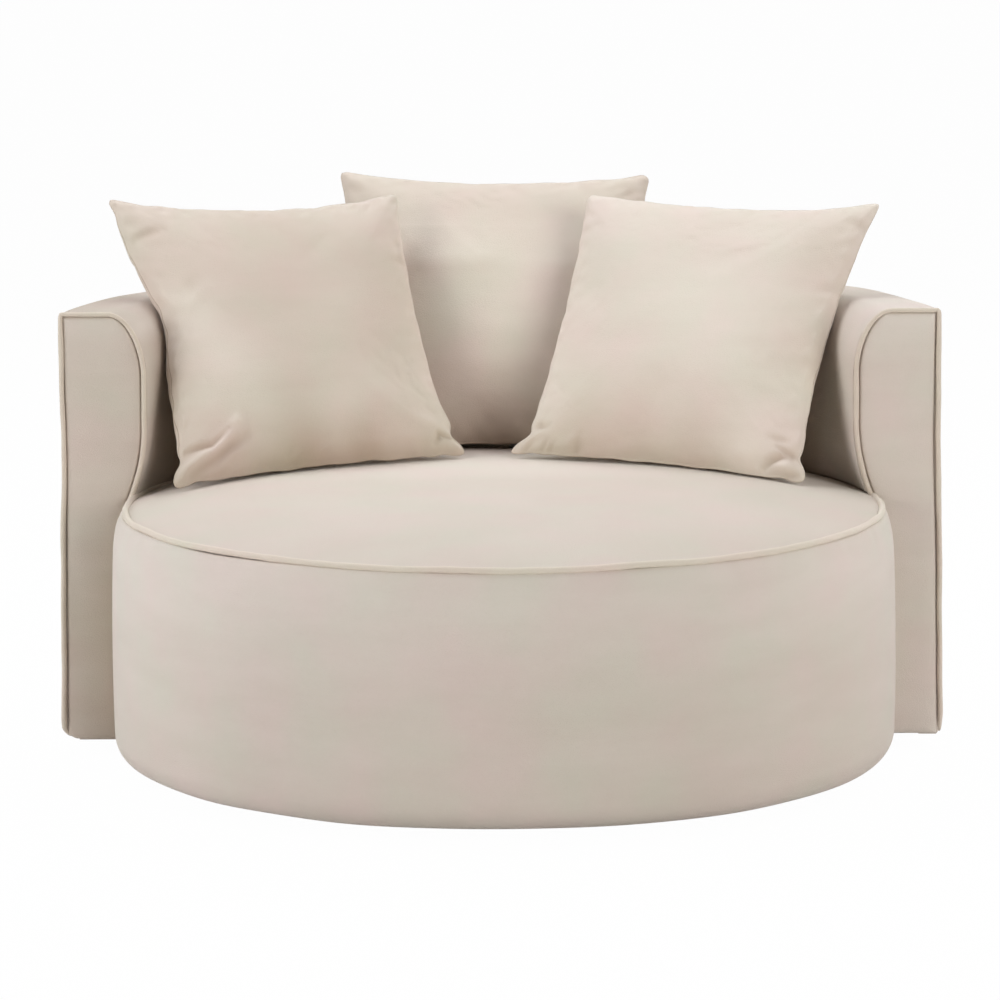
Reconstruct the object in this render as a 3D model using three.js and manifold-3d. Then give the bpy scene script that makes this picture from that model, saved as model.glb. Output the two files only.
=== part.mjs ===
// Round cuddle chair: a drum seat, a curved wall that is back and arms in one, and three loose cushions.
// Millimetres. X runs across the chair, Y to the back and Z up. The pieces are drawn round the drum's centre,
// then moved so that the origin is on the floor, midway between the drum's front and the wall's back.

import * as THREE from 'three';
import { mergeVertices } from 'three/addons/utils/BufferGeometryUtils.js';
import Module from 'manifold-3d';

const wasm = await Module();
wasm.setup();

// Clearances
const gap = 0.3;
const boardEase = 1.2;
const overrun = 40;
const mergeDistance = 0.003;

// Covers and boards
const clothThickness = 2;
const plyThickness = 18;
const boardThickness = 3;
const timberWidth = 45;
const pipingRadius = 4.5;
const outerWaddingThickness = 10;
const facingPadThickness = 10;
const sleeveFoamThickness = 18.6;

// Curved wall, from its outer face inwards
const wallOuterRadius = 733;
const wallRailWidth = 60;
const railOuter = wallOuterRadius - clothThickness - outerWaddingThickness - boardThickness - 3 * gap;
const railInner = railOuter - wallRailWidth;
const innerBoardInner = railInner - gap - boardThickness;
const sleeveInner = innerBoardInner - gap - sleeveFoamThickness - gap - clothThickness;

// Drum seat, which the wall fits round
const glideHeight = 20;
const drumRadius = sleeveInner - gap * 2;
const drumPipingHeight = 427;
const drumPipingInset = 15;
const drumBottomRadius = 42;
const drumTopDrop = 62;
const drumSidePadding = 46;
const drumFrameRadius = drumRadius - drumSidePadding;
const drumRingWidth = 140;
const drumUnderLap = 48;
const seatDepth = 127;
const deckHeight = drumPipingHeight - seatDepth;
const seatCrown = 42;
const seatCrownPower = 4;
const seatWaddingThickness = 22;

// Heights and roundings of the wall
const wallOverhang = 42;
const wallInnerRadius = drumRadius - wallOverhang;
const wallHemRise = 4;
const wallBottomHeight = glideHeight + wallHemRise;
const wallBackRise = 307;
const wallTopHeight = drumPipingHeight + wallBackRise;
const wallCornerDepth = 63;
const wallCornerHeight = 104;
const wallFootDepth = 20;
const wallFootRise = 34;
const wallCreaseSetback = wallOverhang / 2;
const wallCreaseRise = 120;
const wallFacingY = 93;
const wallRailDrop = 92;
const wallFrameLift = 6;

// Loose cushions
const cushionSizeShare = 0.888;
const cushionSize = wallInnerRadius * cushionSizeShare;
const cushionThicknessShare = 0.254;
const cushionThickness = cushionSize * cushionThicknessShare;
const cushionDrawInShare = 0.05;
const cushionCrownShare = 0.42;
const cushionSeamWidth = 6;
const cushionFillEase = 1.6;
const restRise = 50;
const zipLengthShare = 0.65;
const zipLength = cushionSize * zipLengthShare;
const zipWidth = 5;
const zipDepth = 13;

// Fixings and straps
const glideRadius = 25;
const glideTaper = 5;
const boltRadius = 5;
const boltHeadRadius = 11;
const boltHeadThickness = 6;
const boltHeight = deckHeight / 2;
const boltHoleEase = 0.5;
const strapWidth = 60;
const strapThickness = 2;

// Facets
const ringSides = 40;
const rodSides = 12;
const pipingSides = 6;
const cornerSteps = 6;
const cushionSteps = 10;

const degree = Math.PI / 180;
const rearAngles = [15, 52.5, 90, 127.5, 165];
const frontAngles = [232.5, 307.5];
const boltAngles = [15, 90, 165];
const glideAngles = [33.75, 146.25, 213.75, 270, 326.25];

// Fabric and frame finishes
const finish = (color, roughness) => new THREE.MeshStandardMaterial({ color, roughness, metalness: 0 });
const velvet = finish(0xcfc3b4, 0.85);
const pipingCloth = finish(0xd9cec0, 0.85);
const cushionCloth = finish(0xd8cdbf, 0.85);
const foam = finish(0xe9dfa8, 0.95);
const wadding = finish(0xf2f0ec, 1);
const timber = finish(0xc49a6c, 0.7);
const plywood = finish(0xd2ae7c, 0.65);
const board = finish(0x8d6a48, 0.75);
const webbing = finish(0x4b4a48, 0.9);
const lining = finish(0x2b2b2c, 0.95);
const plastic = finish(0x202022, 0.5);
const zipPlastic = finish(0xbeb4a8, 0.5);
const steel = new THREE.MeshStandardMaterial({ color: 0xb4b6b8, roughness: 0.35, metalness: 0.9 });

const chair = new THREE.Group();

function addPiece(name, solid, material) {
  const mesh = new THREE.Mesh(toGeometry(solid), material);
  mesh.name = name;
  chair.add(mesh);
}

// Solids: a closed geometry becomes a manifold for cutting, and goes back to a geometry at the end.
function toSolid(geometry) {
  const bare = geometry.clone();
  bare.deleteAttribute('normal');
  bare.deleteAttribute('uv');
  const merged = mergeVertices(bare, mergeDistance);
  const vertProperties = new Float32Array(merged.attributes.position.array);
  const corners = Array.from(merged.index.array);
  const kept = [];
  for (let i = 0; i < corners.length; i += 3) {
    const [a, b, c] = corners.slice(i, i + 3);
    if (a !== b && b !== c && c !== a) kept.push(a, b, c);
  }
  if (signedVolume(vertProperties, kept) < 0) kept.reverse();
  return new wasm.Manifold(new wasm.Mesh({ numProp: 3, vertProperties, triVerts: Uint32Array.from(kept) }));
}

function signedVolume(points, corners) {
  const corner = (k) => new THREE.Vector3().fromArray(points, corners[k] * 3);
  let volume = 0;
  for (let i = 0; i < corners.length; i += 3) {
    volume += corner(i).dot(corner(i + 1).cross(corner(i + 2)));
  }
  return volume;
}

function toGeometry(solid) {
  const mesh = solid.getMesh();
  const geometry = new THREE.BufferGeometry();
  geometry.setAttribute('position', new THREE.BufferAttribute(mesh.vertProperties, 3));
  geometry.setIndex(new THREE.BufferAttribute(mesh.triVerts, 1));
  geometry.computeVertexNormals();
  return geometry;
}

function box(low, high) {
  const size = high.map((value, axis) => value - low[axis]);
  const centre = high.map((value, axis) => (value + low[axis]) / 2);
  return toSolid(new THREE.BoxGeometry(...size).translate(...centre));
}

// Angles of a quarter turn, from 0 to 90 degrees
function quarterTurns(steps) {
  return Array.from({ length: steps + 1 }, (unused, k) => (k / steps) * 90 * degree);
}

// Turned pieces: a profile of [radius, height] points, closed on itself or ending on the axis.
function turned(profile) {
  const onAxis = profile[0][0] === 0;
  const points = (onAxis ? profile : [...profile, profile[0]]).map(([r, z]) => new THREE.Vector2(r, z));
  return toSolid(new THREE.LatheGeometry(points, ringSides).rotateX(90 * degree));
}

function hoop(innerRadius, outerRadius, low, high) {
  return turned([[innerRadius, low], [outerRadius, low], [outerRadius, high], [innerRadius, high]]);
}

function rod(radius, length) {
  return new THREE.CylinderGeometry(radius, radius, length, rodSides);
}

// A rod that points away from the axis at an angle, between two radii.
function radialRod(radius, from, to, height, angle) {
  const geometry = rod(radius, to - from).rotateZ(-90 * degree).translate((from + to) / 2, 0, height);
  return toSolid(geometry.rotateZ(angle * degree));
}

// A timber post at an angle on a circle, square in plan.
function post(radius, width, low, high, angle) {
  const geometry = new THREE.BoxGeometry(width, width, high - low).translate(radius, 0, (low + high) / 2);
  return toSolid(geometry.rotateZ(angle * degree));
}

// The furthest that the flat back of a post may stand inside a faceted ring of this radius
function clearOfFacets(ringRadius, width) {
  const flat = ringRadius * Math.cos(180 * degree / ringSides);
  return Math.sqrt(flat ** 2 - (width / 2) ** 2) - gap;
}

// A tube along points in the plane that the normal is square to, in a loop or with closed ends.
function tubeAlong(points, normal, radius, loop) {
  const count = points.length;
  const last = count - 1;
  const positions = [];
  const indices = [];
  points.forEach((point, i) => {
    const before = loop ? (i + last) % count : Math.max(0, i - 1);
    const after = loop ? (i + 1) % count : Math.min(last, i + 1);
    const along = points[after].clone().sub(points[before]).normalize();
    const side = new THREE.Vector3().crossVectors(along, normal);
    for (let s = 0; s < pipingSides; s += 1) {
      const turn = ((s + 1 / 2) / pipingSides) * 360 * degree;
      const spot = point.clone().addScaledVector(side, radius * Math.cos(turn));
      positions.push(...spot.addScaledVector(normal, radius * Math.sin(turn)).toArray());
      if (!loop && i === last) continue;
      const here = i * pipingSides;
      const next = after * pipingSides;
      const up = (s + 1) % pipingSides;
      indices.push(here + s, next + s, next + up, here + s, next + up, here + up);
    }
  });
  for (let s = 1; s < pipingSides - 1 && !loop; s += 1) {
    const end = last * pipingSides;
    indices.push(0, s, s + 1, end, end + s + 1, end + s);
  }
  return toSolid(indexed(positions, indices));
}

function indexed(positions, indices) {
  const geometry = new THREE.BufferGeometry();
  geometry.setAttribute('position', new THREE.Float32BufferAttribute(positions, 3));
  geometry.setIndex(indices);
  return geometry;
}

// Seat top: a shallow dome that is flat in the middle and falls to the piping.
const pipingRingRadius = drumRadius - drumPipingInset;
const seatEdgeRadius = pipingRingRadius - pipingRadius - gap;
const crownShares = [0, 0.4, 0.6, 0.74, 0.85, 0.93, 1];

function crownHeight(share) {
  return drumPipingHeight + seatCrown * (1 - share ** seatCrownPower);
}

// Every layer of the seat follows the same straight runs between the same stations.
function seatHeight(radius) {
  const share = Math.min(1, radius / pipingRingRadius);
  const next = Math.max(1, crownShares.findIndex((station) => station >= share));
  const [from, to] = [crownShares[next - 1], crownShares[next]];
  return THREE.MathUtils.mapLinear(share, from, to, crownHeight(from), crownHeight(to));
}

function crownLine(drop, edgeRadius) {
  const inner = crownShares.map((share) => share * pipingRingRadius).filter((radius) => radius < edgeRadius);
  return [...inner, edgeRadius].map((radius) => [radius, seatHeight(radius) - drop]);
}

function domeLayer(upperDrop, lowerDrop, edgeRadius) {
  return turned([...crownLine(lowerDrop, edgeRadius), ...crownLine(upperDrop, edgeRadius).reverse()]);
}

// Shoulder of the drum, from the straight side up and in to the piping
function drumShoulder(inset) {
  const low = drumPipingHeight - pipingRadius - gap - drumTopDrop;
  return quarterTurns(cornerSteps).map((turn) => {
    const radius = drumRadius - inset - drumPipingInset * (1 - Math.cos(turn));
    return [radius, low + drumTopDrop * Math.sin(turn)];
  });
}

// Drum side: outer line from the underside, round the bottom edge and up to the piping
function drumSideLine(inset) {
  const radius = drumBottomRadius - inset;
  const centre = drumRadius - inset - radius;
  const corner = quarterTurns(cornerSteps).map((turn) => {
    const height = glideHeight + drumBottomRadius - radius * Math.cos(turn);
    return [centre + radius * Math.sin(turn), height];
  });
  return [[drumFrameRadius - drumUnderLap, glideHeight + inset], ...corner, ...drumShoulder(inset)];
}

// Glides, dust cover and frame of the drum
const frameBottom = glideHeight + clothThickness * 2 + gap;
const ringInner = drumFrameRadius - drumRingWidth;
const ringMiddle = drumFrameRadius - drumRingWidth / 2;
const postRadius = clearOfFacets(drumFrameRadius, timberWidth) - timberWidth / 2;
const baseRingTop = frameBottom + plyThickness;
const deckRingBottom = deckHeight - plyThickness;
const dustCoverRadius = drumFrameRadius - drumUnderLap - gap;

function glide(angle) {
  const height = frameBottom - gap;
  const geometry = new THREE.CylinderGeometry(glideRadius, glideRadius - glideTaper, height, rodSides);
  geometry.rotateX(90 * degree).translate(ringInner + glideRadius, 0, height / 2);
  return toSolid(geometry.rotateZ(angle * degree));
}

function glideHole(angle) {
  const geometry = rod(glideRadius + gap, frameBottom + overrun).rotateX(90 * degree);
  return toSolid(geometry.translate(ringInner + glideRadius, 0, 0).rotateZ(angle * degree));
}

glideAngles.forEach((angle, i) => addPiece(`glide_${i + 1}`, glide(angle), plastic));

const dustTop = frameBottom - gap;
const dustBottom = dustTop - clothThickness;
const dustEdge = [[dustCoverRadius, dustBottom], [dustCoverRadius, dustTop]];
const dustDisc = turned([[0, dustBottom], ...dustEdge, [0, dustTop]]);
const dustCover = glideAngles.reduce((cut, angle) => cut.subtract(glideHole(angle)), dustDisc);
addPiece('dust_cover', dustCover, lining);

addPiece('drum_base_ring', hoop(ringInner, drumFrameRadius, frameBottom, baseRingTop), plywood);
addPiece('drum_deck_ring', hoop(ringInner, drumFrameRadius, deckRingBottom, deckHeight), plywood);

// Bolts that hold the wall to the drum, and the holes that they need
const uprightRadius = railOuter - wallRailWidth / 2;
const boltFrom = postRadius - timberWidth / 2 - gap - boltHeadThickness;
const boltTo = uprightRadius + timberWidth / 2;

function boltHoles(solid) {
  const hole = (angle) => radialRod(boltRadius + boltHoleEase, boltFrom, boltTo + gap, boltHeight, angle);
  return boltAngles.reduce((cut, angle) => cut.subtract(hole(angle)), solid);
}

boltAngles.forEach((angle, i) => {
  const shank = radialRod(boltRadius, boltFrom, boltTo, boltHeight, angle);
  const head = radialRod(boltHeadRadius, boltFrom, boltFrom + boltHeadThickness, boltHeight, angle);
  addPiece(`wall_bolt_${i + 1}`, shank.add(head), steel);
});

[...rearAngles, ...frontAngles].forEach((angle, i) => {
  const solid = post(postRadius, timberWidth, baseRingTop + gap, deckRingBottom - gap, angle);
  addPiece(`drum_post_${i + 1}`, boltHoles(solid), timber);
});

const hoopInner = drumFrameRadius + gap;
const hoopOuter = hoopInner + boardThickness;
addPiece('drum_hoop_board', boltHoles(hoop(hoopInner, hoopOuter, frameBottom, deckHeight)), board);

// Webbing: one set of straps from side to side, the other from front to back just above it
const strapPitch = ringMiddle / 2;
[-1, 0, 1].forEach((step, i) => {
  const [near, far] = [step * strapPitch - strapWidth / 2, step * strapPitch + strapWidth / 2];
  const reach = Math.sqrt(ringMiddle ** 2 - Math.max(Math.abs(near), Math.abs(far)) ** 2);
  const low = deckHeight + gap;
  const cross = box([-reach, near, low], [reach, far, low + strapThickness]);
  const lifted = low + strapThickness + gap;
  const long = box([near, -reach, lifted], [far, reach, lifted + strapThickness]);
  addPiece(`cross_strap_${i + 1}`, cross, webbing);
  addPiece(`long_strap_${i + 1}`, long, webbing);
});

// Seat filling, side filling and the drum's covers
const foamBottom = deckHeight + 2 * (strapThickness + gap) + gap;
const foamDrop = clothThickness + gap + seatWaddingThickness + gap;
const foamRadius = hoopOuter;
const foamTop = crownLine(foamDrop, foamRadius).reverse();
addPiece('seat_foam', turned([[0, foamBottom], [foamRadius, foamBottom], ...foamTop]), foam);
addPiece('seat_wadding', domeLayer(clothThickness + gap, foamDrop - gap, foamRadius), wadding);
addPiece('seat_top_cover', domeLayer(0, clothThickness, seatEdgeRadius), velvet);

const sideInner = hoopOuter + gap;
const sideTop = seatHeight(sideInner) - clothThickness - gap;
const sideFoamLine = drumSideLine(clothThickness + gap).slice(1, -1).filter(([radius]) => radius > sideInner);
const sideFoam = turned([[sideInner, frameBottom], ...sideFoamLine, [sideInner, sideTop]]);
addPiece('drum_side_foam', boltHoles(sideFoam), foam);
const sideCover = turned([...drumSideLine(0), ...drumSideLine(clothThickness).reverse()]);
addPiece('drum_side_cover', boltHoles(sideCover), velvet);

const pipingRing = Array.from({ length: ringSides }, (unused, i) => {
  const turn = (i / ringSides) * 360 * degree;
  const x = pipingRingRadius * Math.cos(turn);
  return new THREE.Vector3(x, pipingRingRadius * Math.sin(turn), drumPipingHeight);
});
const upward = new THREE.Vector3(0, 0, 1);
addPiece('seat_piping', tubeAlong(pipingRing, upward, pipingRadius, true), pipingCloth);

// Wall section: up the hidden sleeve round the drum, over the crease, up the inner face and over the top
const creaseHeight = drumPipingHeight + pipingRadius + gap * 2;
const creaseRadius = wallInnerRadius + wallCreaseSetback;
const creaseShares = [0.25, 0.5, 0.75, 1];

function wallSleeve(inset) {
  const ease = gap * 2 + inset;
  const clearOfPiping = pipingRingRadius + pipingRadius + ease;
  const shoulder = drumShoulder(0).map(([radius, height]) => [radius + ease, height]);
  const shown = shoulder.filter(([radius]) => radius > clearOfPiping);
  return [[sleeveInner + inset, wallBottomHeight], ...shown, [clearOfPiping, creaseHeight + inset]];
}

function wallFace(inset) {
  const face = wallInnerRadius + inset;
  const crease = creaseShares.map((share) => {
    const height = creaseHeight + inset + (wallCreaseRise - inset) * share;
    return [face + wallCreaseSetback * (1 - share) ** 2, height];
  });
  const corner = quarterTurns(cornerSteps).map((turn) => {
    const height = wallTopHeight - wallCornerHeight + (wallCornerHeight - inset) * Math.sin(turn);
    return [face + (wallCornerDepth - inset) * (1 - Math.cos(turn)), height];
  });
  return [...crease, ...corner];
}

function wallInnerLine(inset, sleeveInset = inset) {
  const low = creaseHeight + sleeveInset;
  const top = [wallOuterRadius - inset, wallTopHeight - inset];
  return [...wallSleeve(sleeveInset), [creaseRadius + inset, low], ...wallFace(inset), top];
}

// Outer face of the wall, with its rounded foot, up to a height
function wallOuterLine(inset, top) {
  const foot = quarterTurns(cornerSteps).map((turn) => {
    const radius = wallOuterRadius - inset - (wallFootDepth - inset) * (1 - Math.sin(turn));
    return [radius, wallBottomHeight + inset + (wallFootRise - inset) * (1 - Math.cos(turn))];
  });
  return [...foot, [wallOuterRadius - inset, top]];
}

// A turned wall layer, kept behind a plane that faces the front
function wallLayer(profile, front) {
  const reach = wallOuterRadius + overrun;
  const keep = box([-reach, front, -overrun], [reach, reach, wallTopHeight + overrun]);
  return turned(profile).intersect(keep);
}

const coverFront = wallFacingY + pipingRadius + gap;
const boardFront = wallFacingY + facingPadThickness + gap;
const frameFront = boardFront + plyThickness + gap;
const foamInset = clothThickness + gap;
const railTop = wallTopHeight - wallRailDrop;
const wallFrameBottom = wallBottomHeight + wallFrameLift;
const outsideTop = wallTopHeight - clothThickness - gap;
const waddingInner = wallOuterRadius - foamInset - outerWaddingThickness;

const insideLine = [...wallInnerLine(0), ...wallInnerLine(clothThickness).reverse()];
addPiece('wall_inside_cover', boltHoles(wallLayer(insideLine, coverFront)), velvet);

const outsideLine = [...wallOuterLine(0, outsideTop), ...wallOuterLine(clothThickness, outsideTop).reverse()];
addPiece('wall_outside_cover', wallLayer(outsideLine, coverFront), velvet);

const waddingLine = wallOuterLine(foamInset, outsideTop).filter(([radius]) => radius > waddingInner);
const waddingBack = [[waddingInner, outsideTop], [waddingInner, waddingLine[0][1]]];
addPiece('wall_outside_wadding', wallLayer([...waddingLine, ...waddingBack], frameFront), wadding);

const foamLine = [
  [sleeveInner + foamInset, wallFrameBottom],
  ...wallInnerLine(foamInset).slice(1, -1),
  [waddingInner - gap, wallTopHeight - foamInset],
  [waddingInner - gap, railTop + gap],
  [innerBoardInner - gap, railTop + gap],
  [innerBoardInner - gap, wallFrameBottom],
];
addPiece('wall_foam', boltHoles(wallLayer(foamLine, frameFront)), foam);

function addBand(name, inner, outer, low, high, material) {
  const band = wallLayer([[inner, low], [outer, low], [outer, high], [inner, high]], frameFront);
  addPiece(name, boltHoles(band), material);
}

const innerBoardOuter = innerBoardInner + boardThickness;
const outerBoardInner = railOuter + gap;
const outerBoardOuter = outerBoardInner + boardThickness;
const baseRailTop = wallFrameBottom + plyThickness;
const topRailBottom = railTop - plyThickness;
const hemInner = sleeveInner + foamInset;
const hemOuter = wallOuterRadius - wallFootDepth - gap;
addBand('wall_inner_board', innerBoardInner, innerBoardOuter, wallFrameBottom, railTop, board);
addBand('wall_outer_board', outerBoardInner, outerBoardOuter, wallFrameBottom, railTop, board);
addBand('wall_base_rail', railInner, railOuter, wallFrameBottom, baseRailTop, plywood);
addBand('wall_top_rail', railInner, railOuter, topRailBottom, railTop, plywood);
addBand('wall_dust_cover', hemInner, hemOuter, wallBottomHeight, wallBottomHeight + clothThickness, lining);
rearAngles.forEach((angle, i) => {
  const solid = post(uprightRadius, timberWidth, baseRailTop + gap, topRailBottom - gap, angle);
  addPiece(`wall_upright_${i + 1}`, boltHoles(solid), timber);
});

// Arm fronts: end board, padded facing and the piping that is sewn round its shown edges, on each side.
// The piping starts at the crease, goes over the arm and down to its foot, where it turns under.
const facingInset = pipingRadius * 2 + gap * 2;
const boardInset = foamInset + boardEase;

// The wall's section as it is met by a plane that faces the front, so that points move out as x
function metAt(y) {
  return ([radius, z]) => [Math.sqrt(radius ** 2 - y ** 2), z];
}

function frontPanel(inset, sleeveInset, from, to, side) {
  const inner = wallInnerLine(inset, sleeveInset).slice(0, -1).map(metAt(from));
  inner[0][1] = wallBottomHeight + sleeveInset;
  const outer = wallOuterLine(inset, wallTopHeight - inset).reverse().map(metAt(to));
  const [footX] = outer[outer.length - 1];
  const foot = sleeveInset < inset ? [[footX, wallBottomHeight + sleeveInset]] : [];
  const shape = new THREE.Shape([...inner, ...outer, ...foot].map(([x, z]) => new THREE.Vector2(x, z)));
  const geometry = new THREE.ExtrudeGeometry(shape, { depth: to - from, bevelEnabled: false });
  geometry.rotateX(90 * degree).translate(0, to, 0);
  return toSolid(side < 0 ? geometry.scale(-1, 1, 1) : geometry);
}

const backward = new THREE.Vector3(0, 1, 0);
const weltStart = [creaseRadius + pipingRadius, creaseHeight + gap];
const weltCorner = [wallOuterRadius - pipingRadius, wallTopHeight - pipingRadius];
const weltFoot = wallOuterLine(pipingRadius, wallTopHeight).slice(0, -1).reverse();
const weltLine = [weltStart, ...wallFace(pipingRadius), weltCorner, ...weltFoot].map(metAt(wallFacingY));
[['left', -1], ['right', 1]].forEach(([name, side]) => {
  const armBoard = frontPanel(boardInset, boardInset, boardFront, boardFront + plyThickness, side);
  addPiece(`${name}_arm_board`, armBoard, plywood);
  const facing = frontPanel(facingInset, foamInset, wallFacingY, wallFacingY + facingPadThickness, side);
  addPiece(`${name}_arm_facing`, facing, velvet);
  const path = weltLine.map(([x, z]) => new THREE.Vector3(side * x, wallFacingY, z));
  addPiece(`${name}_arm_piping`, tubeAlong(path, backward, pipingRadius, false), pipingCloth);
});

// Cushions: a square pillow with a knife-edge seam, drawn in between its corners.
// A point that would sink into the seat or the wall is moved out to rest on it.
function restingPoint(point, ease) {
  const radius = Math.hypot(point.x, point.y);
  const cornerBottom = wallTopHeight - wallCornerHeight;
  const corner = Math.max(0, (point.z - cornerBottom) / (wallCornerHeight + restRise));
  if (corner < 1 && point.y > 0) {
    const setback = wallCornerDepth * (1 / Math.sqrt(1 - corner ** 2) - 1);
    const limit = wallInnerRadius * Math.cos(180 * degree / ringSides) + setback - ease;
    if (radius > limit) {
      point.x *= limit / radius;
      point.y *= limit / radius;
    }
  }
  const floor = seatHeight(Math.hypot(point.x, point.y)) + ease;
  point.z = Math.max(point.z, floor);
  return point;
}

function pillow(place, halfSize, halfThickness, ease) {
  const positions = [];
  const indices = [];
  const count = cushionSteps + 1;
  const share = (i) => Math.sin(((i / cushionSteps) * 2 - 1) * 90 * degree);
  [-1, 1].forEach((face) => {
    const base = positions.length / 3;
    for (let j = 0; j < count; j += 1) {
      for (let i = 0; i < count; i += 1) {
        const [u, v] = [share(i), share(j)];
        const [restU, restV] = [Math.max(0, 1 - u * u), Math.max(0, 1 - v * v)];
        const x = halfSize * u * (1 - cushionDrawInShare * restV);
        const z = halfSize * v * (1 - cushionDrawInShare * restU);
        const y = face * halfThickness * (restU * restV) ** cushionCrownShare;
        const point = restingPoint(new THREE.Vector3(x, y, z + cushionSize / 2).applyMatrix4(place), ease);
        positions.push(...point.toArray());
        if (i === cushionSteps || j === cushionSteps) continue;
        const k = base + j * count + i;
        const quad = [k, k + 1, k + count + 1, k, k + count + 1, k + count];
        indices.push(...(face < 0 ? quad : quad.reverse()));
      }
    }
  });
  return toSolid(indexed(positions, indices));
}

// Each cushion stands on its lower seam. The seam's centre is given in shares of the wall's inner radius
// and sinks into the seat by some of the cushion's size; yaw, lean and tilt are in degrees.
const cushionPlaces = [
  { name: 'rear', xShare: -0.0136, yShare: 0.627, sinkShare: 0.0068, yaw: 0, lean: 33, tilt: 0.8 },
  { name: 'left', xShare: -0.495, yShare: 0.2475, sinkShare: 0.0132, yaw: 23.3, lean: 34.5, tilt: -2.2 },
  { name: 'right', xShare: 0.434, yShare: 0.2373, sinkShare: 0.0121, yaw: -23.5, lean: 36, tilt: 2.2 },
];
const restEase = gap * 2;

function placeOf({ xShare, yShare, sinkShare, yaw, lean, tilt }) {
  const turn = new THREE.Euler(-lean * degree, tilt * degree, yaw * degree, 'ZXY');
  const place = new THREE.Matrix4().makeRotationFromEuler(turn);
  const seam = [wallInnerRadius * xShare, wallInnerRadius * yShare];
  return place.setPosition(...seam, seatHeight(Math.hypot(...seam)) - cushionSize * sinkShare);
}

function seamBox(place, width, thickness, depth) {
  const seamTop = (cushionSize / 2) * cushionDrawInShare;
  const geometry = new THREE.BoxGeometry(width, thickness, depth + seamTop);
  return toSolid(geometry.translate(0, 0, (depth + seamTop) / 2).applyMatrix4(place));
}

cushionPlaces.forEach((cushion) => {
  const place = placeOf(cushion);
  const half = cushionSize / 2;
  const thick = cushionThickness / 2;
  const outer = pillow(place, half, thick, restEase);
  const hollow = pillow(place, half - cushionSeamWidth, thick - clothThickness, restEase + clothThickness);
  const fillSize = half - cushionSeamWidth - cushionFillEase;
  const fillEase = restEase + clothThickness + cushionFillEase;
  const fill = pillow(place, fillSize, thick - clothThickness - cushionFillEase, fillEase);
  const slot = seamBox(place, zipLength + 2 * gap, zipWidth + 2 * gap, zipDepth);
  const pocket = seamBox(place, zipLength + 4 * gap, zipWidth + 4 * gap, zipDepth + gap);
  addPiece(`${cushion.name}_cushion_cover`, outer.subtract(hollow).subtract(slot), cushionCloth);
  addPiece(`${cushion.name}_cushion_fill`, fill.subtract(pocket), wadding);
  const strip = seamBox(place, zipLength, zipWidth, zipDepth - gap).intersect(outer);
  addPiece(`${cushion.name}_cushion_zip`, strip, zipPlastic);
});

chair.position.y = (drumRadius - wallOuterRadius) / 2;

export default chair;
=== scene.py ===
"""Looks for the round cuddle chair: a drum seat, a curved wall that is back and arms in one, and three
loose cushions, all in one pale velvet. Metres. The wall and drum are turned round one upright axis."""

import math

import bmesh
import bpy
import numpy as np
from mathutils import Euler, Matrix, Vector


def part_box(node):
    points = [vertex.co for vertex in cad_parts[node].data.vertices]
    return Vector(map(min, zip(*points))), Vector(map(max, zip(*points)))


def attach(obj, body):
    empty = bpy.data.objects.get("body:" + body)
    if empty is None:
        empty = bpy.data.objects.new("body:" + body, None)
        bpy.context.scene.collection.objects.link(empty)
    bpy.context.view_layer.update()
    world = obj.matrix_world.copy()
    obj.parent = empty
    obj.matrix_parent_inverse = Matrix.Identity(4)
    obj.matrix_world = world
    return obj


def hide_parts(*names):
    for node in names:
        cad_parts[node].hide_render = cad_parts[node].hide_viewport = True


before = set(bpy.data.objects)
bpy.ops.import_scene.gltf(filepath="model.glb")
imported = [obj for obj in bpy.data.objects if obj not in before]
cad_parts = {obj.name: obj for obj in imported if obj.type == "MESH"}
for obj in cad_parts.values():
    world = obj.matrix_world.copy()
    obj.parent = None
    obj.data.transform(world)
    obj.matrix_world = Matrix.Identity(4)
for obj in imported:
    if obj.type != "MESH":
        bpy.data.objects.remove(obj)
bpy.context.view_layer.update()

# Camera. The photograph is taken from straight in front with a long lens, a little above the chair. Its
# place, pitch, roll and lens were fitted to what the photograph shows of the drum, arms and cushions.
camera_place = Vector((-0.001, -9.0505, 1.887))
camera_pitch = math.radians(90 - 9.15)
camera_roll = math.radians(-0.31)
camera_lens = 200.7

camera_data = bpy.data.cameras.new("camera")
camera_data.lens = camera_lens
camera_data.clip_end = 120
camera = bpy.data.objects.new("camera", camera_data)
camera.matrix_world = (
    Matrix.Translation(camera_place)
    @ Matrix.Rotation(camera_pitch, 4, "X")
    @ Matrix.Rotation(camera_roll, 4, "Z")
)
bpy.context.scene.collection.objects.link(camera)
bpy.context.scene.camera = camera


# Velvet. One short-pile upholstery velvet covers every panel: matt, with a soft sheen at grazing angles
# and faint marks where the pile has been brushed one way or the other.
velvet_colour = (206, 195, 184)
pink_shift = (2.5, -2, -0.5)
green_shift = (-2, 1.5, -1)
# How dark and how light the velvet's shade can go, for its pile and brushing and for painted light and shade.
darkest_pile_and_painted_shade = (0.3, 0.15, 0)
lightest_pile_and_painted_light = (1.7, 1.85, 2)
pile_scale = 650
pile_depth = 0.0007
patch_scale = 8
brush_scale = 5
brush_stretch = (1, 1, 4.5)


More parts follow.
